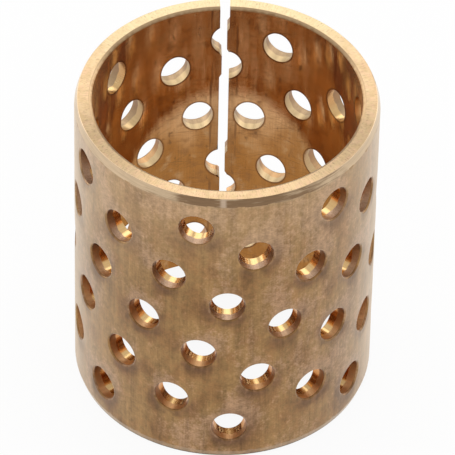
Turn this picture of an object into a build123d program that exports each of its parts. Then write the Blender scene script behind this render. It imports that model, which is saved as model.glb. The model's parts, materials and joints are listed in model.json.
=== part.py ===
"""A wrapped plain bearing bush: bronze strip, pierced flat with rows of round lubricant pockets,
then rolled into a tube whose two ends meet in an open butt seam.

The bush stands on one end face. Z is its axis, the origin is the centre of the lower end face,
and the seam lies on the +Y side. The sizes are those of the free, sprung-open bush, in mm.
"""

from build123d import *
from math import degrees, pi
import os

os.makedirs("parts", exist_ok=True)

# The housing, and the strip that the bush is rolled from
housing_diameter = 34.0  # bore that the bush is pressed into, which closes the seam
wall = 2.0  # strip thickness
length = 40.0  # strip width, which is the length of the bush
seam_gap = 1.17  # gap between the strip's ends at mid wall, while the bush is free

# Turned edges at both ends of the tube
chamfer_width = 0.31  # outside lead-in, across the wall
chamfer_length = 0.95  # outside lead-in, along the axis
edge_break_width = 0.36  # inside edge break, across the wall
edge_break_length = 0.25  # inside edge break, along the axis

# Rows of lubricant pockets, laid out on the flat strip from the strip's first end
row_count = 9
row_pitch = 3.79  # from row to row, along the axis
pocket_pitch = 15.88  # from pocket to pocket in a row, along the strip
row_shift = 6.45  # how far a row is moved along the strip from the row above it
first_pocket = -0.88  # centre of the top row's first pocket, just off the strip's end

# Rolling stretches a round pocket around the outside and squeezes it in the bore
mouth_width = 4.16  # around the outside
mouth_height = 4.24  # along the axis, outside
throat_width = 3.48  # around the bore
throat_height = 4.12  # along the axis, in the bore
least_bite = 0.3  # a pocket that would cut less than this into a strip end is left out

# Where one strip end cuts through a pocket, the other end keeps a low land that faces it
land_height = 0.28  # how far the land stands into the gap, at mid wall
land_flank = 0.5  # length of each sloping flank, along the axis
land_inset = 0.2  # how much the land is shorter than the pocket, above and below

# Cutting tools run this far past the wall and past the ends of the tube
run_past = 0.2

# The strip keeps the length that it has at mid wall in the closed bush
strip_length = pi * (housing_diameter - wall)
mid_radius = (strip_length + seam_gap) / (2 * pi)
outer_radius = mid_radius + wall / 2
bore_radius = mid_radius - wall / 2

tool_start = bore_radius - run_past
tool_end = outer_radius + run_past
pocket_reach = (mouth_width + throat_width) / 4  # half a pocket's width at mid wall


def wall_section():
    """Draw the section of the wall, with a lead-in and an edge break at both ends."""
    Polyline(
        (bore_radius, edge_break_length),
        (bore_radius + edge_break_width, 0),
        (outer_radius - chamfer_width, 0),
        (outer_radius, chamfer_length),
        (outer_radius, length - chamfer_length),
        (outer_radius - chamfer_width, length),
        (bore_radius + edge_break_width, length),
        (bore_radius, length - edge_break_length),
        close=True,
    )


def pocket_sites():
    """List each pocket as its distance along the strip and its height."""
    furthest = pocket_reach - least_bite
    sites = []
    for row in range(row_count):
        height = length / 2 + ((row_count - 1) / 2 - row) * row_pitch
        along = (first_pocket + row * row_shift + furthest) % pocket_pitch - furthest
        while along < strip_length + furthest:
            sites.append((along, height))
            along += pocket_pitch
    return sites


def cut_end(along):
    """Tell which strip end cuts a pocket: -1 is the first end, 1 the last, 0 neither."""
    if along < pocket_reach:
        return -1
    if along > strip_length - pocket_reach:
        return 1
    return 0


def on_strip(along, height):
    """Turn a place on the flat strip into one on the rolled strip, facing outwards."""
    turn = degrees((seam_gap / 2 + along) / mid_radius)
    return Location((0, 0, height), (0, 0, 90 + turn))


def pocket_half(throat, mouth, radius):
    """Carry half of a pocket's size on from bore and outside to another radius."""
    return (throat + (mouth - throat) * (radius - bore_radius) / wall) / 2


sites = pocket_sites()

# One pocket's tool, which tapers from the outside to the bore
with BuildPart() as pocket:
    for radius in (tool_start, tool_end):
        with BuildSketch(Plane.YZ.offset(radius)):
            Ellipse(
                pocket_half(throat_width, mouth_width, radius),
                pocket_half(throat_height, mouth_height, radius),
            )
    loft()


def end_pockets(end):
    """Make the tools for the pockets that one strip end cuts, kept off the other end."""
    with BuildPart() as tools:
        with Locations(*[on_strip(*site) for site in sites if cut_end(site[0]) == end]):
            add(pocket.part)
        split(bisect_by=Plane.YZ, keep=Keep.TOP if end == 1 else Keep.BOTTOM)
    return tools.part


# The seam is one radial slot, with the strip ends' low lands left standing in it
with BuildPart() as seam:
    seam_angle = seam_gap / mid_radius
    slot_half = tool_start * seam_angle / 2
    land_tip = tool_start * (seam_angle / 2 - land_height / mid_radius)
    land_root_half = throat_height / 2 - land_inset
    with BuildSketch(Plane.XZ.offset(-tool_start)):
        with Locations((0, length / 2)):
            Rectangle(2 * slot_half, length + 2 * run_past)
        for along, height in sites:
            facing = -cut_end(along)
            if facing:
                with BuildLine():
                    Polyline(
                        (facing * slot_half, height - land_root_half),
                        (facing * land_tip, height - land_root_half + land_flank),
                        (facing * land_tip, height + land_root_half - land_flank),
                        (facing * slot_half, height + land_root_half),
                        close=True,
                    )
                make_face(mode=Mode.SUBTRACT)
    extrude(amount=tool_start - tool_end, taper=-degrees(seam_angle / 2))

with BuildPart() as wrapped_bush:
    with BuildSketch(Plane.YZ):
        with BuildLine():
            wall_section()
        make_face()
    revolve(axis=Axis.Z)
    add(seam.part, mode=Mode.SUBTRACT)
    with Locations(*[on_strip(*site) for site in sites if not cut_end(site[0])]):
        add(pocket.part, mode=Mode.SUBTRACT)
    for end in (-1, 1):
        if any(cut_end(along) == end for along, height in sites):
            add(end_pockets(end), mode=Mode.SUBTRACT)

wrapped_bush.part.label = "wrapped_bush"
export_step(wrapped_bush.part, "parts/wrapped_bush.step")
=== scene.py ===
# %% [markdown]
# # A wrapped bronze bush with lubricant pockets
#
# A plain bearing bush that is made from bronze strip. The strip is pierced flat with rows of
# round pockets, then rolled until its two ends meet in an open butt seam. This lesson loads the
# packed solid, builds a finer shell of the same bush with the marks that punching, rolling and
# turning leave, gives each of its surfaces a finish of its own, and lights it on a pale floor.
# Sizes are named in millimetres and turned into metres where vertices are made.

import json
import math

import bpy
import numpy as np
from mathutils import Matrix, Vector
from mathutils.geometry import delaunay_2d_cdt


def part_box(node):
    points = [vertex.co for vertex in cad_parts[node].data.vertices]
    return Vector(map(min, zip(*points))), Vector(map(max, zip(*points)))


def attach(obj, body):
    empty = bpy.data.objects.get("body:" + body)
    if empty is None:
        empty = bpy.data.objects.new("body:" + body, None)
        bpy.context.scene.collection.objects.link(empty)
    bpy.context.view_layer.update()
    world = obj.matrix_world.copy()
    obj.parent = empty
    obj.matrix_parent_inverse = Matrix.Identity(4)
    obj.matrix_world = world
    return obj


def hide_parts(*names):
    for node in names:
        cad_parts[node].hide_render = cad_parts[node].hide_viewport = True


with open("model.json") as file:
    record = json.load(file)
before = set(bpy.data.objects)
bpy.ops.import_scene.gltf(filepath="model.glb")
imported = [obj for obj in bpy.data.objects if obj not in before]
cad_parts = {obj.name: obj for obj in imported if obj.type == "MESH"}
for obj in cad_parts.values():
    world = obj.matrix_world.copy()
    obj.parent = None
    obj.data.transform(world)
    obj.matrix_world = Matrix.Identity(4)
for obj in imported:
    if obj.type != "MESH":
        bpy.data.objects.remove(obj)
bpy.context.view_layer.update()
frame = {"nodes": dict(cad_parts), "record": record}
MM = 0.001  # metres
print("nodes:", sorted(frame["nodes"]))

# %% [markdown]
# The camera comes first, because it says which marks are large enough to model. It looks down
# at a little over forty degrees from in front, through a long lens from two thirds of a metre
# away, so the rings at the top and bottom are almost equal ellipses. It leans by about a degree,
# as a camera that is held by hand does.

# %% Place the camera
camera_height = 0.45627  # metres above the floor
camera_reach = 0.46566  # metres in front of the bush's axis
camera_swing = math.radians(-1.73)  # around the bush
camera_roll = math.radians(1.2212)
look_down = 0.752807  # radians below level
look_aside = -0.000673  # radians
lens_mm = 441.0
sensor_mm = 36.0
nearest, furthest = 0.01, 20.0  # metres between which the camera sees

camera = bpy.data.objects.new("camera", bpy.data.cameras.new("camera"))
camera.data.sensor_width = sensor_mm
camera.data.lens = lens_mm
camera.data.clip_start = nearest
camera.data.clip_end = furthest
bpy.context.scene.collection.objects.link(camera)
bpy.context.scene.camera = camera

# The rows of `tilted` point right, down and forward, for a camera at -Y that looks along +Y
level_view = Matrix(((1, 0, 0), (0, 0, -1), (0, 1, 0)))
tilted = (
    Matrix.Rotation(camera_roll, 3, "Z")
    @ Matrix.Rotation(look_down, 3, "X")
    @ Matrix.Rotation(look_aside, 3, "Y")
    @ level_view
)
right, down, forward = tilted
axes = Matrix((right, -down, -forward)).transposed()
swing = Matrix.Rotation(camera_swing, 3, "Z")
place = swing @ Vector((0, -camera_reach, camera_height))
camera.matrix_world = Matrix.Translation(place) @ (swing @ axes).to_4x4()
print("camera at", [round(v, 4) for v in place])
print("looking along", [round(v, 3) for v in swing @ forward])

# %% [markdown]
# The real strip is pierced while it is flat, so the shell is laid out flat too: `along` runs the
# length of the strip from its first end and `height` across it. Rolling turns `along` into an
# angle. A pocket is laid out as an ellipse, a little wider on the outside than in the bore. The
# same could be had from Boolean cuts in a tube, but they leave long thin faces that spoil the
# reflections, and no clean rings around each hole to round its rim with.

# %% Measure the strip
mounts = {mount["name"]: mount for mount in frame["record"]["mounts"]}
bore_radius = mounts["bore"]["dims"]["r_mm"]
outer_radius = mounts["outside"]["dims"]["r_mm"]
low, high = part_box("wrapped_bush")
length = round((high[2] - low[2]) / MM, 4)
mid_radius = (outer_radius + bore_radius) / 2
closed_mid_diameter = 32.0  # at mid wall, once a housing has pressed the seam shut
strip_length = math.pi * closed_mid_diameter
seam_gap = 2 * math.pi * mid_radius - strip_length

row_count = 9
row_pitch = 3.79  # from row to row along the axis
pocket_pitch = 15.88  # from pocket to pocket in a row
row_shift = 6.45  # how much further along each row starts than the row above it
first_pocket = -0.88  # the first pocket of the top row, from the strip's first end
furthest_cut = 1.61  # how far past a strip end a pocket's centre may lie and still cut it
nearest_whole = 1.91  # a pocket whose centre is nearer to a strip end than this is cut by it

SIDES = ("outside", "bore")
shell_inset = 0.001  # keeps the shell inside the packed solid
surface_radius = {"outside": outer_radius - shell_inset, "bore": bore_radius}
pocket_half_width = {"outside": 2.02, "bore": 1.77}  # around the bush, at that surface
pocket_half_height = {"outside": 2.10, "bore": 2.065}


def strip_half_width(side):
    """Half a pocket's width as it lies on the flat strip."""
    return mid_radius * math.asin(pocket_half_width[side] / surface_radius[side])


def pocket_sites():
    """Each pocket's place on the strip: (along, height)."""
    sites = []
    for row in range(row_count):
        height = length / 2 + ((row_count - 1) / 2 - row) * row_pitch
        along = (first_pocket + row * row_shift + furthest_cut) % pocket_pitch - furthest_cut
        while along < strip_length + furthest_cut:
            sites.append((along, height))
            along += pocket_pitch
    return sites


sites = pocket_sites()
last_whole = strip_length - nearest_whole
cut_first = sorted((s for s in sites if s[0] < nearest_whole), key=lambda s: s[1])
cut_last = sorted((s for s in sites if s[0] > last_whole), key=lambda s: s[1])
whole = [s for s in sites if s not in cut_first and s not in cut_last]
print(len(whole), "whole pockets,", len(cut_first), "and", len(cut_last), "cut by the strip ends")

# %% [markdown]
# The strip's outline is one closed loop: along the lower edge, up the last end, back along the
# upper edge and down the first end. Where an end cuts through a pocket the loop follows the
# pocket's arc, and where it faces such a cut it steps out over a low land. Outside and bore
# have the same number of points in the same order, so the wall between them is made of plain
# rows of quads.

# %% Draw the outline of the strip
edge_step = 0.8  # from point to point along the end faces
arc_points = 27  # steps around a pocket that a strip end cuts
pocket_points = 52  # steps around a whole pocket
land_height = 0.28  # how far a land steps out
land_half = 1.86  # half its length along the strip end
land_flank = 0.5  # how much of that each of its sloping sides takes
end_rows = {  # heights from each end where a surface needs a row of points
    "outside": (0.012, 0.03, 0.06, 0.5, 0.88, 0.95, 1.02, 1.1),
    "bore": (0.012, 0.03, 0.05, 0.22, 0.26, 0.3),
}
end_steps = 8  # points from one mark on a strip end to the next
near_end = sorted(set(end_rows["outside"] + end_rows["bore"]))


def straight(start, end, step):
    """Points from start up to end, without end."""
    count = max(1, round(math.dist(start, end) / step))
    return [
        (start[0] + (end[0] - start[0]) * i / count, start[1] + (end[1] - start[1]) * i / count)
        for i in range(count)
    ]


def cut_turns(side, along, extra=0):
    """The turns of the points on a cut pocket's arc, and of `extra` more past both its ends."""
    at, outward = (0.0, -1) if along < strip_length / 2 else (strip_length, 1)
    reach = math.acos(max(-1, min(1, (at - along) / strip_half_width(side))))
    low_turn, high_turn = (reach, 2 * math.pi - reach) if outward > 0 else (-reach, reach)
    step = (high_turn - low_turn) / arc_points
    return low_turn + step * np.arange(-extra, arc_points + 1 + extra)


def end_line(side, at, outward, cuts, lands):
    """One strip end from bottom to top: its points, and the kind of each step that follows."""
    half_width, half_height = strip_half_width(side), pocket_half_height[side]
    marks = []
    for along, height in cuts:
        turns = cut_turns(side, along)
        across = along + half_width * np.cos(turns)
        arc = [(float(u), float(z)) for u, z in zip(across, height + half_height * np.sin(turns))]
        marks.append((height, "arc", arc[::-1] if outward > 0 else arc))
    for _, height in lands:
        tip = at + outward * land_height
        corners = [
            (at, height - land_half),
            (tip, height - land_half + land_flank),
            (tip, height + land_half - land_flank),
            (at, height + land_half),
        ]
        marks.append((height, "land", corners))
    points = [(at, z) for z in (0.0, *near_end[:-1])]
    here = (at, near_end[-1])
    kinds = ["end"] * len(points)
    for _, kind, line in sorted(marks):
        run = [(at, here[1] + (line[0][1] - here[1]) * i / end_steps) for i in range(end_steps)]
        points += run
        kinds += ["end"] * len(run)
        for a, b in zip(line, line[1:]):
            step = [a] if kind == "arc" else straight(a, b, edge_step)
            points += step
            kinds += [kind if kind == "arc" else "end"] * len(step)
        here = line[-1]
    last = length - near_end[-1]
    points += [(at, here[1] + (last - here[1]) * i / end_steps) for i in range(end_steps)]
    points += [(at, length - z) for z in reversed(near_end)]
    kinds += ["end"] * (end_steps + len(near_end))
    return points, kinds


def outline(side):
    """The strip's closed outline, counter-clockwise, and the kind of each step."""
    up, up_kinds = end_line(side, strip_length, 1, cut_last, cut_first)
    down, down_kinds = end_line(side, 0.0, -1, cut_first, cut_last)
    down = [(0.0, length)] + down[:0:-1]
    down_kinds = down_kinds[::-1]
    bottom = straight((0.0, 0.0), (strip_length, 0.0), edge_step)
    top = straight((strip_length, length), (0.0, length), edge_step)
    points = bottom + up + top + down
    kinds = ["edge"] * len(bottom) + up_kinds + ["edge"] * len(top) + down_kinds
    return np.array(points), kinds


outlines = {side: outline(side) for side in SIDES}
print("outline points:", [len(outlines[side][0]) for side in SIDES])

# %% [markdown]
# Two distances steer everything near a pocket or a strip end: how far a point lies beyond the
# rim of its nearest pocket, and how far from the outline. An ellipse has no short formula for
# the first, so it comes from the ellipse's own equation and its slope, which is exact at the rim
# and close enough a millimetre away.

# %% Find how far a point lies from a rim or an end
pocket_turns = 2 * np.pi * np.arange(pocket_points) / pocket_points
far_away = 9.0  # any distance too long to matter
pocket_zone = 5.0  # pockets whose centres are further off aren't looked at
tiny = 1e-6  # keeps a division from dividing by nothing


def pocket_loop(side, site, away=0.0, turns=pocket_turns):
    """The rim of a pocket, or the line that runs that far away from it."""
    a, b = strip_half_width(side), pocket_half_height[side]
    steer = np.stack([b * np.cos(turns), a * np.sin(turns)], 1)
    steer /= np.linalg.norm(steer, axis=1)[:, None]
    return np.stack([a * np.cos(turns), b * np.sin(turns)], 1) + away * steer + np.array(site)


def beyond_rim(side, points):
    """How far each point lies outside its nearest pocket, and the direction away from it."""
    a, b = strip_half_width(side), pocket_half_height[side]
    best = np.full(len(points), far_away)
    away = np.zeros((len(points), 2))
    for site in sites:
        off = points - np.array(site)
        near = np.abs(off).max(1) < pocket_zone
        growth = np.hypot(off[near, 0] / a, off[near, 1] / b)
        slope = np.stack([off[near, 0] / a**2, off[near, 1] / b**2], 1)
        slope /= np.maximum(growth, tiny)[:, None]
        steep = np.maximum(np.linalg.norm(slope, axis=1), tiny)
        gap = (growth - 1) / steep
        where = np.flatnonzero(near)
        closer = gap < best[where]
        best[where[closer]] = gap[closer]
        away[where[closer]] = (slope / steep[:, None])[closer]
    return best, away


def beyond_line(points, loop, counted):
    """The distance from each point to the nearest side of a closed loop that is counted."""
    best = np.full(len(points), far_away)
    for start, end, counts in zip(loop, np.roll(loop, -1, 0), counted):
        if not counts:
            continue
        run = end - start
        part = np.clip(((points - start) @ run) / (run @ run), 0, 1)
        best = np.minimum(best, np.linalg.norm(points - start - part[:, None] * run, axis=1))
    return best


bridge = pocket_pitch - 2 * strip_half_width("outside")
print("metal between two pockets of a row:", round(bridge, 2), "mm")

# %% [markdown]
# Each surface is filled with triangles by a constrained Delaunay triangulation. Rings of points
# around every pocket carry its rounded rim and the shallow dish beside it, rows of points near
# both ends carry the turned lead-in, and a loose grid is enough for the plain wall between,
# because the normals are worked out from the shape and not from the triangles. The rings of a
# cut pocket share the turns of its arc, or thin triangles would join the arc to the wrong ring.

# %% Fill a surface of the strip with triangles
rings = {  # distances from the rim
    "outside": (0.02, 0.06, 0.12, 0.21, 0.34, 0.55, 0.85, 1.2),
    "bore": (0.03, 0.35),
}
sparse_from = 0.9  # rings further out take every second point
turns_past_arc = 9  # steps that the rings of a cut pocket go on past its arc
grid_step = 1.05
grid_squeeze = 0.87  # rows lie closer than points, which keeps the triangles even
grid_start = 1.3  # from each end face
grid_inset = 0.5  # from the strip's first end, and twice that in every second row
grid_clear = 0.45  # between a pocket's last ring and the grid
end_margin = 0.3  # the grid stops this far inside a strip end, and the rings this far past it
end_zone = 3.5  # near a strip end, where points may crowd its outline
row_zone = 1.2  # near an end face, where the rows of points are kept
rim_clear = 0.012  # from a free point to a rim
line_clear = 0.08  # from a free point to the outline
whole_hull = 0  # triangles all over, of which the strip's own are kept
same_point = 1e-7


def ring_points(side):
    """Rings around every pocket."""
    found = []
    for site in sites:
        turns = pocket_turns if site in whole else cut_turns(side, site[0], turns_past_arc)
        for away in rings[side]:
            every = 2 if away > sparse_from else 1
            found.append(pocket_loop(side, site, away, turns[::every]))
    return found


def row_points(side):
    """Rows along both end faces, where the surface bends."""
    spans = round(strip_length / edge_step)
    across = strip_length * np.arange(1, spans) / spans
    heights = [z for t in end_rows[side] for z in (t, length - t)]
    return [np.stack([across, np.full(len(across), z)], 1) for z in heights]


def grid_points(side):
    """A loose grid on the plain wall between the pockets."""
    span = length - 2 * grid_start
    rows = round(span / (grid_step * grid_squeeze))
    lines = []
    for i in range(rows + 1):
        across = np.arange(grid_inset * (1 + i % 2), strip_length - end_margin, grid_step)
        lines.append(np.stack([across, np.full(len(across), grid_start + span * i / rows)], 1))
    lines = np.concatenate(lines)
    return lines[beyond_rim(side, lines)[0] > rings[side][-1] + grid_clear]


def uncrowded(side, free):
    """The free points that lie on the strip, clear of its outline and its pockets."""
    along = free[:, 0]
    on_strip = (along > -end_margin) & (along < strip_length + end_margin)
    free = free[on_strip & (beyond_rim(side, free)[0] > rim_clear)]
    along, height = free.T
    at_end = (along < end_zone) | (along > strip_length - end_zone)
    line, kinds = outlines[side]
    gap = np.full(len(free), far_away)
    gap[at_end] = beyond_line(free[at_end], line, [kind != "arc" for kind in kinds])
    in_row = (height < row_zone) | (height > length - row_zone)
    in_row &= (along > end_margin) & (along < strip_length - end_margin)
    return free[(gap > line_clear) | in_row]


def fill(side):
    """Triangulate the strip between its outline and its pockets."""
    loops = [outlines[side][0]] + [pocket_loop(side, site) for site in whole]
    free = np.concatenate([*ring_points(side), *row_points(side), grid_points(side)])
    points = np.concatenate([*loops, uncrowded(side, free)])
    faces, count = [], 0
    for loop in loops:
        faces.append(list(range(count, count + len(loop))))
        count += len(loop)
    placed, _, triangles, origin, _, owners = delaunay_2d_cdt(
        [Vector(p) for p in points], [], faces, whole_hull, same_point
    )
    new_number = {first: new for new, firsts in enumerate(origin) for first in firsts}
    return {
        "points": np.array([p[:] for p in placed]),
        "triangles": np.array([t for t, owner in zip(triangles, owners) if owner == [0]]),
        "loops": [np.array([new_number[i] for i in face]) for face in faces],
    }


skins = {side: fill(side) for side in SIDES}
for side in SIDES:
    print(side, len(skins[side]["points"]), "points,", len(skins[side]["triangles"]), "triangles")

# %% [markdown]
# How deep each point lies below its plain surface is a sum of small shapes: the turned lead-in
# or edge break with its softened corners, the round rim of a pocket, and beside each pocket the
# shallow dish where punching pulled the metal down. Each shape also gives its slope, so the
# normals are exact and the metal reflects smoothly over few triangles.

# %% Work out the depth and slope of the marks
lead_in = {"outside": (0.31, 0.95), "bore": (0.36, 0.25)}  # across the wall, along the axis
lead_in_soft = {"outside": 0.07, "bore": 0.04}  # how far its inner corner is softened
corner_round = {"outside": 0.06, "bore": 0.03}
rim_round = {"outside": 0.21, "bore": 0.03}
dish_depth = {"outside": 0.035, "bore": 0.0}
dish_width = 1.1
dish_side = math.radians(-50)  # the dish is deepest below a pocket and to the right
dish_least = 0.3  # share of its depth that it keeps on the other side
steepest = 30.0  # the steepest slope that a normal is given


def quarter_round(distance, radius):
    """Depth and slope of a rounded edge, by distance from the edge."""
    left = np.clip(radius - distance, 0, radius)
    rise = np.sqrt(np.maximum(radius**2 - left**2, tiny**2))
    return radius - rise, -np.minimum(left / rise, steepest)


def soft_ramp(distance, width, reach, soft):
    """Depth and slope of a bevel whose far corner is softened."""
    over = reach - distance
    bent = np.abs(over) < soft
    depth = np.where(bent, (over + soft) ** 2 / (4 * soft), np.maximum(over, 0))
    slope = np.where(bent, (over + soft) / (2 * soft), (over > 0) * 1.0)
    return depth * width / reach, -slope * width / reach


def dish(side, gap, away):
    """Depth and slope of the dish around a pocket."""
    turn = np.arctan2(away[:, 1], away[:, 0])
    facing_side = 0.5 + 0.5 * np.cos(turn - dish_side)
    deepest = dish_depth[side] * (dish_least + (1 - dish_least) * facing_side**2)
    part = np.clip(gap / dish_width, 0, 1)
    return deepest * (1 - part**2) ** 2, deepest * -4 * part * (1 - part**2) / dish_width


def marks(side, points):
    """Depth below the plain surface, its slope along and across the strip, and the rim gap."""
    from_end = np.minimum(points[:, 1], length - points[:, 1])
    inward = np.where(points[:, 1] < length / 2, 1.0, -1.0)
    ramp, ramp_slope = soft_ramp(from_end, *lead_in[side], lead_in_soft[side])
    corner, corner_slope = quarter_round(from_end, corner_round[side])
    gap, away = beyond_rim(side, points)
    gap = np.maximum(gap, 0)
    rim, rim_slope = quarter_round(gap, rim_round[side])
    dent, dent_slope = dish(side, gap, away)
    slope = away * (rim_slope + dent_slope)[:, None]
    slope[:, 1] += inward * (ramp_slope + corner_slope)
    return ramp + corner + rim + dent, slope, gap, away[:, 1]


def turn_at(points):
    """The angle around the bush at which points of the flat strip come to lie."""
    return math.pi / 2 + (seam_gap / 2 + points[:, 0]) / mid_radius


def rolled(points, radius):
    """Roll points of the flat strip into the tube, at the radius that each has."""
    turn = turn_at(points)
    return np.stack([radius * np.cos(turn), radius * np.sin(turn), points[:, 1]], 1)


def facing(points, out, along, up):
    """Unit vectors at points of the strip, from their parts out of, along and across it."""
    turn = turn_at(points)
    cos, sin = np.cos(turn), np.sin(turn)
    vectors = np.stack([out * cos - along * sin, out * sin + along * cos, up + 0 * out], 1)
    return vectors / np.linalg.norm(vectors, axis=1)[:, None]


shape = {}
for side, sign in (("outside", 1), ("bore", -1)):
    flat = skins[side]["points"]
    depth, slope, gap, above = marks(side, flat)
    radius = surface_radius[side] - sign * depth
    normal = facing(flat, np.full(len(flat), 1.0 * sign), slope[:, 0], slope[:, 1])
    shape[side] = {"flat": flat, "radius": radius, "normal": normal, "gap": gap, "above": above}
    print(side, "deepest mark", round(float(depth.max()), 3), "mm")

# %% [markdown]
# The shell is gathered in plain lists: vertices, faces, and for each face its finish and the
# normals of its corners. Every vertex keeps two facts for the finishes: the gap to the nearest
# pocket's rim, and whether it lies above or below that pocket. Only the upper lead-in has a
# finish of its own, because the lower one is as tarnished as the rest of the outside.

# %% Gather outside and bore
FINISHES = ("rolled", "lead_in", "end_ring", "edge_break", "bore", "torn", "sheared")
vertices, faces, corner_normals, face_finish = [], [], [], []
facts = {"rim_gap": [], "rim_above": []}


def add_points(places, gap, above):
    """Store vertices with what the finishes need to know, and return the number of the first."""
    first = sum(len(block) for block in vertices)
    vertices.append(places)
    for name, value in (("rim_gap", gap), ("rim_above", above)):
        facts[name].append(np.broadcast_to(value, len(places)).astype(float))
    return first


def add_faces(rows, normals, finish):
    """Store faces with a normal at each corner."""
    faces.extend(tuple(int(v) for v in row) for row in rows)
    corner_normals.append(np.asarray(normals).reshape(-1, 3))
    face_finish.extend([FINISHES.index(name) for name in finish])


def add_surface(side):
    """Store one filled surface, rolled up, and return the number of its first vertex."""
    part, triangles = shape[side], skins[side]["triangles"]
    first = add_points(rolled(part["flat"], part["radius"]), part["gap"], part["above"])
    middle = part["flat"][triangles][:, :, 1].mean(1)
    reach = lead_in[side][1]
    if side == "outside":
        names = np.where(length - middle < reach, "lead_in", "rolled")
    else:
        names = np.where(np.minimum(middle, length - middle) < reach, "edge_break", "bore")
        triangles = triangles[:, ::-1]
    add_faces(triangles + first, part["normal"][triangles], names.tolist())
    return first


start_of = {side: add_surface(side) for side in SIDES}
print("surfaces:", len(faces), "faces")

# %% [markdown]
# The walls of the pockets show how they were punched. The punch comes from the bore side and
# shears the metal cleanly for half of the wall, then the rest tears and flares towards the
# outside, so each wall has two bands with an uneven line between them. The strip's own ends and
# the two end rings are walls of the same outline, so one function makes them all.

# %% Join outside and bore with walls
tear_share = 0.46  # share of the wall, from the outside, that is torn
tear_flare = 0.88  # share of the flare that lies in the torn band
tear_wander = 0.035  # how far the line between the bands wanders, as a share of the wall
tear_waves = ((3, 1.7, 1.0), (7, 2.9, 0.7), (13, 0.7, 0.6))  # count, shift, part
flare_curve = 1.4  # above 1, the flare opens faster towards the outside
torn_steps = (0.0, 0.25, 0.6, 1.0)
sheared_steps = (0.0, 0.4, 1.0)
least_drop = 1e-3  # keeps a slope from dividing by nothing


def step_normals(line, kinds, sign):
    """For each step of a closed line, the flat wall normals at its start and at its end."""
    run = np.roll(line, -1, 0) - line
    flat = sign * np.stack([run[:, 1], -run[:, 0]], 1)
    flat /= np.linalg.norm(flat, axis=1)[:, None]
    starts, ends = flat.copy(), flat.copy()
    for i, kind in enumerate(kinds):
        if kind == "arc" and kinds[i - 1] == "arc":
            starts[i] = ends[i - 1] = flat[i] + flat[i - 1]
    for normals in (starts, ends):
        normals /= np.linalg.norm(normals, axis=1)[:, None]
    return starts, ends


def wall_lines(number, count):
    """The lines that a wall is built on: (share of the wall, openness of the flare, band)."""
    turn = 2 * np.pi * np.arange(count) / count
    wander = sum(part * np.sin(waves * turn + shift * number) for waves, shift, part in tear_waves)
    tear = tear_share + (tear_wander * wander if number else 0 * wander)
    lines = []
    for step in torn_steps:
        lines.append((tear * step, 1 - tear_flare * (1 - (1 - step) ** flare_curve), "torn"))
    for step in sheared_steps:
        lines.append((tear + (1 - tear) * step, (1 - tear_flare) * (1 - step), "sheared"))
    return lines


def add_wall(number):
    """Build the wall between one loop of the outside and the same loop of the bore."""
    outer, inner = (skins[side]["loops"][number] for side in SIDES)
    kinds = outlines["outside"][1] if number == 0 else ["arc"] * len(outer)
    top, bottom = shape["outside"]["flat"][outer], shape["bore"]["flat"][inner]
    top_radius, bottom_radius = shape["outside"]["radius"][outer], shape["bore"]["radius"][inner]
    here = np.arange(len(outer))
    follow = np.roll(here, -1)
    starts, ends = step_normals(top, kinds, 1 if number == 0 else -1)
    lines = wall_lines(number, len(outer))
    built = []
    for order, (share, openness, _) in enumerate(lines):
        flat = bottom + (top - bottom) * openness
        radius = top_radius + (bottom_radius - top_radius) * share
        if order == 0:
            ids = outer + start_of["outside"]
        elif order == len(lines) - 1:
            ids = inner + start_of["bore"]
        elif order != len(torn_steps):  # the sheared band starts on the torn band's last line
            ids = add_points(rolled(flat, radius), 0.0, -starts[:, 1]) + here
        built.append((flat, radius, ids))
    for order in range(len(lines) - 1):
        if order == len(torn_steps) - 1:
            continue
        (flat_a, radius_a, ids_a), (flat_b, radius_b, ids_b) = built[order : order + 2]
        corners = []
        for pick, flat_normals in ((here, starts), (follow, ends)):
            widen = -((flat_a - flat_b)[pick] * flat_normals).sum(1)
            rise = widen / np.maximum((radius_a - radius_b)[pick], least_drop)
            for flat in (flat_a, flat_b):
                corners.append(facing(flat[pick], rise, flat_normals[:, 0], flat_normals[:, 1]))
        start_a, start_b, end_a, end_b = corners
        rows = np.stack([ids_a, ids_a[follow], ids_b[follow], ids_b], 1)
        normals = np.stack([start_a, end_a, end_b, start_b], 1)
        if number == 0:
            rows, normals = rows[:, ::-1], normals[:, ::-1]
        band = lines[order][2]
        add_faces(rows, normals, ["end_ring" if kind == "edge" else band for kind in kinds])


for number in range(len(skins["outside"]["loops"])):
    add_wall(number)
print("with", len(skins["outside"]["loops"]), "walls:", len(faces), "faces")

# %% [markdown]
# The lists become one mesh, because the bush is one piece of metal. Vertices that no face uses
# are left out. The mesh stands for the packed solid, which stays for collision.

# %% Make the shell
places = np.concatenate(vertices) * MM
used = np.unique(np.concatenate([np.array(face) for face in faces]))
renumber = np.zeros(len(places), int)
renumber[used] = np.arange(len(used))
faces = [tuple(int(renumber[v]) for v in face) for face in faces]
shell_mesh = bpy.data.meshes.new("bronze_shell")
shell_mesh.from_pydata(places[used].tolist(), [], faces)
shell_mesh.polygons.foreach_set("material_index", face_finish)
shell_mesh.polygons.foreach_set("use_smooth", [True] * len(faces))
shell_mesh.normals_split_custom_set(np.concatenate(corner_normals).tolist())
for name, values in facts.items():
    layer = shell_mesh.attributes.new(name, "FLOAT", "POINT")
    layer.data.foreach_set("value", np.concatenate(values)[used].astype(np.float32))
shell_mesh.update()
bronze_shell = bpy.data.objects.new("bronze_shell", shell_mesh)
bpy.context.scene.collection.objects.link(bronze_shell)
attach(bronze_shell, "root")
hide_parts("wrapped_bush")
shell_mesh.calc_loop_triangles()
print("shell:", len(used), "vertices,", len(shell_mesh.loop_triangles), "triangles")

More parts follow.
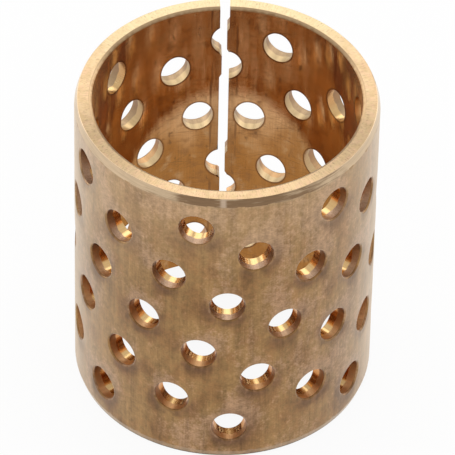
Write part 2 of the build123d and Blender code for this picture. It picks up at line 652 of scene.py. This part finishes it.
# %% [markdown]
# Shader maths reads best as ordinary sums. `Wire` wraps a node's output, so that `1 - mask` adds
# a Math node, and `Finish` has one method that adds any other node with its settings and its
# socket values. A picture wrapped around the bush could carry the same marks, but it would show
# its own grid from close by and a join at the back.

# %% Wrap sockets so that sums add nodes
class Wire:
    """One output of a node, which sums and products can use."""

    def __init__(self, finish, socket):
        self.finish, self.socket = finish, socket

    def also(self, name):
        """Another output of the same node."""
        return Wire(self.finish, self.socket.node.outputs[name])

    def maths(self, operation, a, b):
        return self.finish.node("Math", {"operation": operation}, {0: a, 1: b})

    def __abs__(self):
        return self.finish.node("Math", {"operation": "ABSOLUTE"}, {0: self})


def overload(operator, operation):
    """Let a Python operator add a Math node, from either side of it."""
    setattr(Wire, f"__{operator}__", lambda self, other: self.maths(operation, self, other))
    setattr(Wire, f"__r{operator}__", lambda self, other: self.maths(operation, other, self))


overload("add", "ADD")
overload("sub", "SUBTRACT")
overload("mul", "MULTIPLY")
overload("truediv", "DIVIDE")
overload("pow", "POWER")


class Finish:
    """A material that is written as expressions."""

    def __init__(self, name):
        self.material = bpy.data.materials.new(name)
        self.material.use_nodes = True
        self.tree = self.material.node_tree
        self.tree.nodes.clear()

    def node(self, kind, settings=None, sockets=None, out=0):
        """Add a node: its settings first, then the values or links of its sockets."""
        made = self.tree.nodes.new("ShaderNode" + kind)
        for name, value in (settings or {}).items():
            setattr(made, name, value)
        for name, value in (sockets or {}).items():
            if isinstance(value, Wire):
                self.tree.links.new(value.socket, made.inputs[name])
            else:
                made.inputs[name].default_value = value
        return Wire(self, made.outputs[out])

    def close(self, surface):
        """Make a shader the material's surface."""
        output = self.tree.nodes.new("ShaderNodeOutputMaterial")
        self.tree.links.new(surface.socket, output.inputs["Surface"])
        print(self.material.name, "has", len(self.tree.nodes), "nodes")
        return self.material


print("operators:", [name for name in vars(Wire) if name.startswith("__r")])

# %% [markdown]
# Most marks on the bush run with its axis, because the strip is drawn and the tube is sized
# lengthwise. Noise that is laid out around the axis in millimetres, and stretched along it,
# gives them without any seam, and the two facts that the shell keeps at its vertices say where
# the pockets are. Each noise has a shift of its own, so that no two rise and fall together.

# %% Lay out noise in millimetres
endless = 1000.0  # for grain that doesn't change across the whole bush
scratch_from, scratch_full = 0.62, 0.74  # only the crests of its noise become scratches


def scaled(vector, level):
    """Make a place larger or smaller, or a colour lighter or darker."""
    return vector.finish.node("VectorMath", {"operation": "SCALE"}, {0: vector, "Scale": level})


def placed_finish(name):
    """A finish that knows its place on the bush in mm: across, deep, up and out."""
    finish = Finish(name)
    finish.place = scaled(finish.node("TexCoord", out="Object"), 1 / MM)
    split = finish.node("SeparateXYZ", {}, {0: finish.place})
    finish.x, finish.y, finish.z = split, split.also("Y"), split.also("Z")
    finish.r = (finish.x * finish.x + finish.y * finish.y) ** 0.5
    return finish


def drawn(finish, across, along, deep=endless, detail=2.0, shift=0.0):
    """Noise whose grains are `across` mm around, `along` mm up and `deep` mm through the wall."""
    turn = mid_radius / across
    layout = finish.node("CombineXYZ", {}, {
        0: finish.x / finish.r * turn,
        1: finish.y / finish.r * turn + shift,
        2: finish.z * (1 / along) + shift,
    })
    return finish.node("TexNoise", {"noise_dimensions": "4D"}, {
        "Vector": layout, "W": finish.r * (1 / deep) + shift, "Scale": 1.0, "Detail": detail,
    })


def grain(finish, size, detail):
    """Even noise whose grains are `size` mm."""
    sockets = {"Vector": finish.place, "Scale": 1 / size, "Detail": detail}
    return finish.node("TexNoise", {}, sockets)


def between(value, low, high, start=0.0, end=1.0):
    """Stretch the part of a value from low to high smoothly over start to end."""
    return value.finish.node("MapRange", {"interpolation_type": "SMOOTHSTEP"}, {
        "Value": value, "From Min": low, "From Max": high, "To Min": start, "To Max": end,
    })


def fading(value, low, high):
    """1 where a value is below low, falling smoothly to 0 where it is above high."""
    return between(value, low, high, 1.0, 0.0)


def scratches(finish, slant, long, thin, shift):
    """Sparse scratches `long` by `thin` mm that rise by `slant` mm for each mm to the right."""
    layout = finish.node("CombineXYZ", {}, {
        0: (finish.x + finish.z * slant) * (1 / long),
        1: (finish.z - finish.x * slant) * (1 / thin) + shift,
        2: finish.y * (1 / long) + shift,
    })
    line = finish.node("TexNoise", {}, {"Vector": layout, "Scale": 1.0, "Detail": 1.0})
    return between(line, scratch_from, scratch_full)


def blend(share, first, second):
    """Mix two colours."""
    first, second = ((*c, 1.0) if isinstance(c, tuple) else c for c in (first, second))
    return share.finish.node("Mix", {"data_type": "RGBA"}, {0: share, 6: first, 7: second}, out=2)


def fact(finish, name):
    """A number that the shell stores at its vertices."""
    return finish.node("Attribute", {"attribute_name": name}, out="Fac")


def bronze(colour, roughness, height, relief, fixed=None):
    """Close a finish as metal. relief is the height of the bump in mm."""
    skin = colour.finish
    sockets = {"Base Color": colour, "Roughness": roughness, "Metallic": 1.0, **(fixed or {})}
    bump = {"Height": height, "Distance": relief * MM, "Strength": 1.0}
    sockets["Normal"] = skin.node("Bump", {}, bump)
    return skin.close(skin.node("BsdfPrincipled", {}, sockets))


finish_of = {}
print("facts for the finishes:", list(facts))

# %% [markdown]
# The outside is rolled and lightly tarnished: olive brown with fine lengthwise lines, rubbed
# pinker and paler around and above the pockets. Patches of duller, darker tarnish are deepened
# below the pockets by painted shade in their dishes, and some pockets have a patchy dark
# halo of painted shade close to the rim. A thin pale line on some rims is wear together with a
# painted highlight of the rounded rim. The upper part is paler, and the lower lead-in ends in a
# dark line of painted shadow where the bush stands on the floor. The tarnish scatters light
# that grazes it, so the metal carries a sheen, which pales both sides of the tube.

# %% Finish the rolled outside
tarnish_sheen = {
    "Sheen Weight": 0.85,
    "Sheen Roughness": 0.41,
    "Sheen Tint": (1.0, 0.87, 0.70, 1.0),
}
outside_tint = dict(
    olive=(0.352, 0.202, 0.079),
    brown=(0.322, 0.17, 0.065),
    rubbed=(0.42, 0.255, 0.15),
    dull_and_dish_shade=(0.18, 0.086, 0.036),
    rim_halo_shade=(0.165, 0.082, 0.048),
    upper=(0.42, 0.30, 0.18),
    lip=(0.48, 0.345, 0.22),
    foot_shadow=(0.035, 0.026, 0.018),
    worn=(0.46, 0.305, 0.205),
)


def rolled_finish():
    skin, tint = placed_finish("rolled_bronze"), outside_tint
    gap, above = fact(skin, "rim_gap"), fact(skin, "rim_above")

    # The grain of the metal, from broad clouds down to specks
    cloud = drawn(skin, 4.2, 9.0, detail=3.0)
    patch = drawn(skin, 2.2, 3.6, detail=4.0, shift=31.0)
    smear = drawn(skin, 1.1, 2.6, detail=3.0, shift=71.0)
    band = drawn(skin, 0.9, 16.0, shift=7.0)
    mottle = drawn(skin, 0.55, 0.7, detail=3.0, shift=17.0)
    tick = drawn(skin, 0.42, 0.15, shift=41.0)
    hair = drawn(skin, 0.13, 4.0, shift=3.0)
    speck = grain(skin, 0.24, 3.0)

    # Handling and tarnish around the pockets, with painted shade in the dishes and close to the
    # rims
    near = fading(gap, 0.2, 2.6)
    uneven = (speck + mottle - 1.0) * 0.35
    rubbed = between(cloud + near * above * 0.14 + uneven, 0.46, 0.68)
    # Duller, darker tarnish in patches, with painted shade in the dishes below the pockets
    dull_and_dish_shade = between(near * (0.1 - above * 0.4) + (patch - 0.5) * 1.9, 0.0, 0.75)
    # A patchy dark halo of painted shade close to some rims
    rim_halo_shade = between(gap, 0.02, 0.2) * fading(gap, 0.3, 1.4)
    rim_halo_shade = rim_halo_shade * between(patch * 0.9 + cloud * 0.5 - above * 0.10, 0.58, 0.86)
    base = between(patch + (mottle - 0.5) * 0.6, 0.4, 0.62)
    colour = blend(base, tint["olive"], tint["brown"])
    colour = blend(rubbed * 0.80, colour, tint["rubbed"])
    colour = blend(dull_and_dish_shade * 0.72, colour, tint["dull_and_dish_shade"])
    colour = blend(rim_halo_shade * 0.6, colour, tint["rim_halo_shade"])

    # The paler upper part, and the grain as lighter and darker lines
    upper = between(skin.z - skin.x * 0.2 + (cloud - 0.5) * 14, 25.0, 40.0)
    colour = blend(upper * 0.35, colour, tint["upper"])
    level = band * 0.80 + smear * 0.40 + hair * 0.44 + mottle * 0.95 + speck * 0.60 - 0.61
    colour = scaled(colour, level + (tick - 0.5) * rubbed * 0.9 + upper * 0.18)

    # Edges: below the upper lead-in, a painted shadow at the foot, and painted highlights on rims
    lip = between(skin.z, length - 1.35, length - 1.0) * between(cloud, 0.42, 0.6)
    colour = blend(lip * 0.4, colour, tint["lip"])
    # Painted shadow along the foot, where the bush stands on the floor
    colour = blend(fading(skin.z, 0.05, 0.42) * 0.85, colour, tint["foot_shadow"])
    # Worn rims that also carry a painted highlight of the rounded rim
    worn = fading(gap, 0.08, 0.28)
    worn = worn * between(patch + mottle * 0.6 + above * 0.05, 0.78, 0.98)
    colour = blend(worn * 0.5, colour, tint["worn"])

    rough = 0.30 + speck * 0.12 + dull_and_dish_shade * 0.1
    relief = hair * 0.6 + speck * 0.5 + mottle * 0.6 + band * 0.4 + tick * rubbed * 0.3
    return bronze(colour, rough, relief, 0.014, tarnish_sheen)


finish_of["rolled"] = rolled_finish()

# %% [markdown]
# The bore is the running surface, smoother and redder than the outside. Light only reaches it
# by way of other bronze, so its colour deepens by itself. It is darker low down, where it has
# run, and fresher above. It has blotches, smudges and three sets of fine scratches, a dark fold
# line on each side of the seam, and slow waves that bend what it reflects. High at the back it
# is a little duller and flatter.

# %% Finish the bore
bore_gloss = {
    "Specular Tint": (0.97, 0.80, 0.56, 1.0),
    "Sheen Weight": 0.34,
    "Sheen Roughness": 0.5,
    "Sheen Tint": (0.9, 0.56, 0.27, 1.0),
}
bore_tint = dict(
    worn=((0.335, 0.14, 0.036), (0.385, 0.17, 0.046)),
    fresh=((0.58, 0.33, 0.155), (0.66, 0.385, 0.19)),
    pale_blotch=(0.50, 0.30, 0.145),
    dark_blotch=(0.25, 0.112, 0.04),
    seam=(0.20, 0.09, 0.035),
    smudge=(0.16, 0.075, 0.03),
    scratch=(0.20, 0.09, 0.035),
    rim=(0.17, 0.07, 0.025),
)
bore_scratches = (  # slant, length, thickness, shift
    (0.45, 5.0, 0.10, 3.0),
    (-0.25, 4.0, 0.09, 9.0),
    (0.05, 6.0, 0.10, 15.0),
)


def bore_finish():
    skin, tint = placed_finish("bore_bronze"), bore_tint

    # The grain of the metal
    cloud = drawn(skin, 3.0, 7.0, detail=3.0, shift=11.0)
    blotch = drawn(skin, 1.5, 1.8, detail=4.0, shift=43.0)
    smear = drawn(skin, 0.7, 6.0, detail=3.0, shift=5.0)
    smudge = drawn(skin, 0.8, 1.6, shift=23.0)
    hair = drawn(skin, 0.12, 5.0, shift=2.0)

    # Worn and fresh metal, and the blotches on both
    uneven = between(cloud, 0.35, 0.65)
    fresh = between(skin.z + (cloud - 0.5) * 12, 17.0, 30.0)
    colour = blend(fresh, blend(uneven, *tint["worn"]), blend(uneven, *tint["fresh"]))
    colour = blend(between(blotch, 0.5, 0.72) * 0.6, colour, tint["pale_blotch"])
    colour = blend(fading(blotch, 0.28, 0.48) * 0.65, colour, tint["dark_blotch"])

    # The fold lines beside the seam, in the back half alone
    behind = between(skin.y, 0.0, 1.0)
    fold = abs(abs(skin.x) - 1.45 - (cloud - 0.5) * 0.6)
    fold = fading(fold, 0.05, 0.22) * behind
    fold = fold * between(smear + (cloud - 0.5), 0.4, 0.55)
    beside = fading(abs(skin.x), 1.1, 1.5) * behind
    colour = blend(fold * 0.75 + beside * 0.3, colour, tint["seam"])

    # Smudges, scratches and the dark rims of the pockets
    colour = blend(between(smudge, 0.62, 0.74) * 0.7, colour, tint["smudge"])
    first, second, third = (scratches(skin, *row) for row in bore_scratches)
    colour = blend((first + second + third) * 0.5, colour, tint["scratch"])
    colour = blend(fading(fact(skin, "rim_gap"), 0.1, 0.3) * 0.8, colour, tint["rim"])
    level = 0.80 + hair * 0.40 - between(skin.z, 34.0, 38.0) * 0.1
    colour = scaled(colour, level)

    # Gloss and relief, both weaker high at the back
    back = between(skin.y, 8.0, 14.0) * between(skin.z, 27.0, 32.0)
    rough = 0.05 + between(smear, 0.45, 0.8) * 0.12 + between(blotch, 0.45, 0.7) * 0.06
    rough = rough + back * 0.10
    ripple = drawn(skin, 0.3, 9.0, shift=29.0)
    brushed = drawn(skin, 0.9, 0.045, detail=1.0, shift=37.0)
    sway = drawn(skin, 1.5, 4.0, shift=61.0)
    relief = hair * 0.3 + ripple * 0.5 + smear * 0.35 + blotch * 0.8 + brushed * 0.25
    relief = relief + sway * (2.4 - back * 1.9)
    return bronze(colour, rough, relief, 0.006, bore_gloss)


finish_of["bore"] = bore_finish()

# %% [markdown]
# The ends are cut bare metal, the palest bronze on the bush, with fine marks and darker ticks
# straight through the wall. They are yellower at the back, a painted highlight, and darker
# towards the left and right of the front, painted shade; both stand in for how the turned
# grooves reflect. A place on an end is known by its angle and by its depth in the wall, so its
# noise is laid out with those.

# %% Finish the end rings
ring_tint = dict(
    bare=((0.50, 0.35, 0.19), (0.60, 0.435, 0.25)),
    blush=(0.60, 0.385, 0.245),
    back=(0.64, 0.53, 0.31),
)


def ring_finish():
    skin, tint = placed_finish("end_ring_bronze"), ring_tint
    line = drawn(skin, 0.11, endless, deep=1.5)
    patch = drawn(skin, 1.6, endless, deep=0.9, detail=3.0, shift=4.0)
    blush = drawn(skin, 0.7, endless, deep=0.5, shift=14.0)
    tick = drawn(skin, 0.09, endless, deep=0.35, shift=27.0)
    backward, sideways = skin.y / skin.r, abs(skin.x) / skin.r
    colour = blend(between(patch, 0.35, 0.7), *tint["bare"])
    colour = blend(between(blush, 0.45, 0.65) * 0.5, colour, tint["blush"])
    # Painted highlight: yellower towards the back
    back = between(backward + (patch - 0.5) * 0.6, 0.2, 1.0)
    colour = blend(back * 0.7, colour, tint["back"])
    # Painted shade: darker towards the left and right of the front
    side_shade = between(sideways + (patch - 0.5) * 0.5, 0.35, 0.9)
    side_shade = side_shade * fading(backward, -0.4, 0.1)
    level = 0.75 + line * 0.46 - side_shade * 0.32 - between(tick, 0.54, 0.70) * 0.36
    colour = scaled(colour, level)
    return bronze(colour, 0.26 + patch * 0.16, line + patch, 0.010)


finish_of["end_ring"] = ring_finish()

# %% [markdown]
# The upper lead-in was turned, so fine lines run around it. It is bare at the back, with some
# dark arcs. Its front is darker, painted shade for the dark that it reflects there, and one pale
# streak on the front is a painted highlight. The small edge break in the bore is bare too, and
# darker where it runs into the bore.

# %% Finish the lead-in and the edge break
edge_gloss = {
    "Specular Tint": (0.95, 0.80, 0.60, 1.0),
    "Sheen Weight": 0.6,
    "Sheen Roughness": 0.5,
    "Sheen Tint": (1.0, 0.82, 0.56, 1.0),
}
lead_in_tint = dict(
    bare=(0.64, 0.475, 0.305),
    front_shade=(0.222, 0.136, 0.074),
    front_glint=(0.60, 0.46, 0.34),
)
edge_break_tint = dict(
    bare=((0.34, 0.225, 0.125), (0.47, 0.325, 0.185)),
    inner=(0.20, 0.10, 0.04),
)
front_glint_place = 0.70  # mm to the left of the middle of the front


def lead_in_finish():
    skin, tint = placed_finish("lead_in_bronze"), lead_in_tint
    patch = drawn(skin, 2.4, 3.0, detail=3.0, shift=9.0)
    line = drawn(skin, 3.0, 0.16, detail=3.0, shift=1.0)
    arcs = drawn(skin, 9.0, endless, detail=1.0, shift=51.0)
    arcs = between(arcs, 0.5, 0.7) * between(skin.y / skin.r, -0.2, 0.2)
    # Painted shade: darker at the front, for the dark that the lead-in reflects there
    front_shade_mask = (skin.x * 0.12 - skin.y) / skin.r + (patch - 0.5) * 0.5 + (line - 0.5) * 0.7
    colour = blend(between(front_shade_mask + arcs, 0.74, 1.0), tint["bare"], tint["front_shade"])
    # A painted highlight: a pale streak on the front, just left of the middle
    front_glint = fading(abs(skin.x + front_glint_place + (line - 0.5) * 0.2), 0.1, 0.5)
    front_glint = front_glint * fading(skin.y, -1.0, 0.0)
    colour = blend(front_glint * (0.3 + patch), colour, tint["front_glint"])
    colour = scaled(colour, 0.66 + line * 0.68)
    return bronze(colour, 0.24 + patch * 0.12, line, 0.008, tarnish_sheen)


def edge_break_finish():
    skin, tint = placed_finish("edge_break_bronze"), edge_break_tint
    patch = drawn(skin, 0.6, endless, detail=3.0, shift=4.0)
    from_middle = abs(skin.z - length / 2) + (patch - 0.5) * 0.3
    inner = fading(from_middle, length / 2 - 0.25, length / 2 - 0.1)
    colour = blend(patch, *tint["bare"])
    colour = blend(inner * 0.8, colour, tint["inner"])
    return bronze(colour, 0.28, patch, 0.008, edge_gloss)


finish_of["lead_in"] = lead_in_finish()
finish_of["edge_break"] = edge_break_finish()

# %% [markdown]
# A pocket's sheared band is burnished by the punch and has fine lines through the wall. The torn
# band outside it is dull and grainy. Only the floor of a pocket faces the light from above. The
# rest of its wall, the flank, gets painted shade, deeper and redder, for the light that reaches
# it only after bouncing inside the pocket. Both bands are duller at the back, and the torn band
# is golden low down.

# %% Finish the pocket walls
sheared_tint = dict(
    bright=((0.60, 0.37, 0.15), (0.78, 0.54, 0.26)),
    flank=((0.64, 0.32, 0.12), (0.66, 0.28, 0.085)),
    back=((0.43, 0.32, 0.17), (0.68, 0.53, 0.325)),
)
torn_tint = dict(
    crumbs=((0.48, 0.31, 0.20), (0.62, 0.43, 0.295)),
    back=(0.47, 0.33, 0.185),
    low=(0.74, 0.43, 0.195),
    flank=((0.37, 0.22, 0.13), (0.47, 0.265, 0.14)),
    low_flank=(0.46, 0.215, 0.085),
)


def sheared_finish():
    skin, tint = placed_finish("sheared_bronze"), sheared_tint
    lines = drawn(skin, 0.14, 0.14, deep=5.0, detail=3.0, shift=6.0)
    colour = blend(lines, *tint["bright"])
    colour = scaled(colour, between(skin.z, 3.0, 12.0, 0.76, 1.0))
    # Painted shade on the flank, the part of the wall that doesn't face up
    flank = between(fact(skin, "rim_above") + (lines - 0.5) * 0.3, -0.9, -0.3)
    low = fading(skin.z, 8.0, 26.0)
    colour = blend(flank * 0.85, colour, blend(low, *tint["flank"]))
    back = between(skin.y, 8.5, 13.5)
    colour = blend(back * 0.8, colour, blend(lines, *tint["back"]))
    return bronze(colour, 0.17 + lines * 0.10 + back * 0.22, lines, 0.0015)


def torn_finish():
    skin, tint = placed_finish("torn_bronze"), torn_tint
    lines = drawn(skin, 0.15, 0.15, deep=1.2, detail=3.0, shift=8.0)
    crumb = grain(skin, 0.12, 3.0)
    colour = blend(between(crumb, 0.35, 0.65), *tint["crumbs"])
    colour = blend(between(skin.y, 0.0, 8.0) * 0.8, colour, tint["back"])
    low = fading(skin.z + (crumb - 0.5) * 4 - abs(skin.x - 3) * 0.5, 10.0, 19.0)
    colour = blend(low * 0.85, colour, tint["low"])
    # Painted shade on the flank of the torn band, lighter and redder towards the right
    right_side = between(skin.x, 4.0, 14.0)
    deep = blend(low, blend(right_side, *tint["flank"]), tint["low_flank"])
    flank = between(fact(skin, "rim_above") + (lines - 0.5) * 0.4, -0.95, -0.1)
    colour = blend(flank * 0.85, colour, deep)
    colour = scaled(colour, 0.70 + lines * 0.4)
    return bronze(colour, 0.36 + crumb * 0.16, crumb + lines, 0.02)


finish_of["sheared"] = sheared_finish()
finish_of["torn"] = torn_finish()
for name in FINISHES:
    shell_mesh.materials.append(finish_of[name])
print("finishes:", [material.name for material in shell_mesh.materials])

# %% [markdown]
# The bush stands on a plain pale floor that runs out of view on every side. The floor is matte,
# so it keeps the shadow of the bush. A white page could be had by lighting it harder, but that
# would bleach the bronze too. Instead the rays by which the camera and the bronze see the floor
# find most of it white already, which Light Path allows, and all other light falls on plain matte.

# %% Lay the floor
floor_size = 8.0  # metres
white_share = 0.92  # of what the rays that see the floor find


def seen(finish):
    """1 for the rays by which the camera, a glossy face or glass sees a surface, else 0."""
    ray = finish.node("LightPath")
    found = ray + ray.also("Is Glossy Ray") + ray.also("Is Transmission Ray")
    return finish.node("Math", {"operation": "MINIMUM"}, {0: found, 1: 1.0})


def paper_finish():
    """Matte paper that looks nearly white to the rays that see it."""
    paper = Finish("pale_paper")
    matte = paper.node("BsdfDiffuse", {}, {"Color": (0.85, 0.85, 0.85, 1.0)})
    white = paper.node("Emission", {}, {"Color": (1.0, 1.0, 1.0, 1.0), "Strength": 1.0})
    share = seen(paper) * white_share
    return paper.close(paper.node("MixShader", {}, {0: share, 1: matte, 2: white}))


bpy.ops.mesh.primitive_plane_add(size=floor_size)
floor = bpy.context.object
floor.name = "floor"
floor.data.materials.append(paper_finish())
print("floor:", [round(side, 2) for side in floor.dimensions[:2]], "m")

# %% [markdown]
# Polished metal shows its surroundings more than its own colour, so most of the light is a plain
# white world a little below full strength, the same on all sides. Three large soft lamps stand
# behind the bush, one high for the end ring and two low at the sides, and pale the edges of the
# tube. The camera doesn't see them.

# %% Light the bush
world_level = 0.9
lamp_size = 0.5  # metres across
lamp_aim = (0.0, 0.0, 0.02)  # the middle of the bush
world = bpy.data.worlds.new("studio")
bpy.context.scene.world = world
world.use_nodes = True
background = world.node_tree.nodes["Background"]
background.inputs["Color"].default_value = (1.0, 1.0, 1.0, 1.0)
background.inputs["Strength"].default_value = world_level


def soft_lamp(name, place, level):
    """Add a round lamp that looks as bright as `level` from where it is aimed."""
    data = bpy.data.lights.new(name, "AREA")
    data.shape = "DISK"
    data.size = lamp_size
    data.energy = level * math.pi * (math.pi * lamp_size**2 / 4)
    lamp = bpy.data.objects.new(name, data)
    lamp.location = place
    lamp.rotation_euler = (Vector(place) - Vector(lamp_aim)).to_track_quat("Z", "Y").to_euler()
    lamp.visible_camera = False
    bpy.context.scene.collection.objects.link(lamp)
    print(name, "at", place, "gives", round(data.energy, 3), "W")


soft_lamp("back_top", (0.0, 0.5, 0.55), 1.25)
soft_lamp("back_left", (-0.45, 0.42, 0.16), 1.5)
soft_lamp("back_right", (0.45, 0.42, 0.16), 1.5)

# %% [markdown]
# The Standard view shows colours as they are written.

# %% Show colours as they are written
bpy.context.scene.view_settings.view_transform = "Standard"
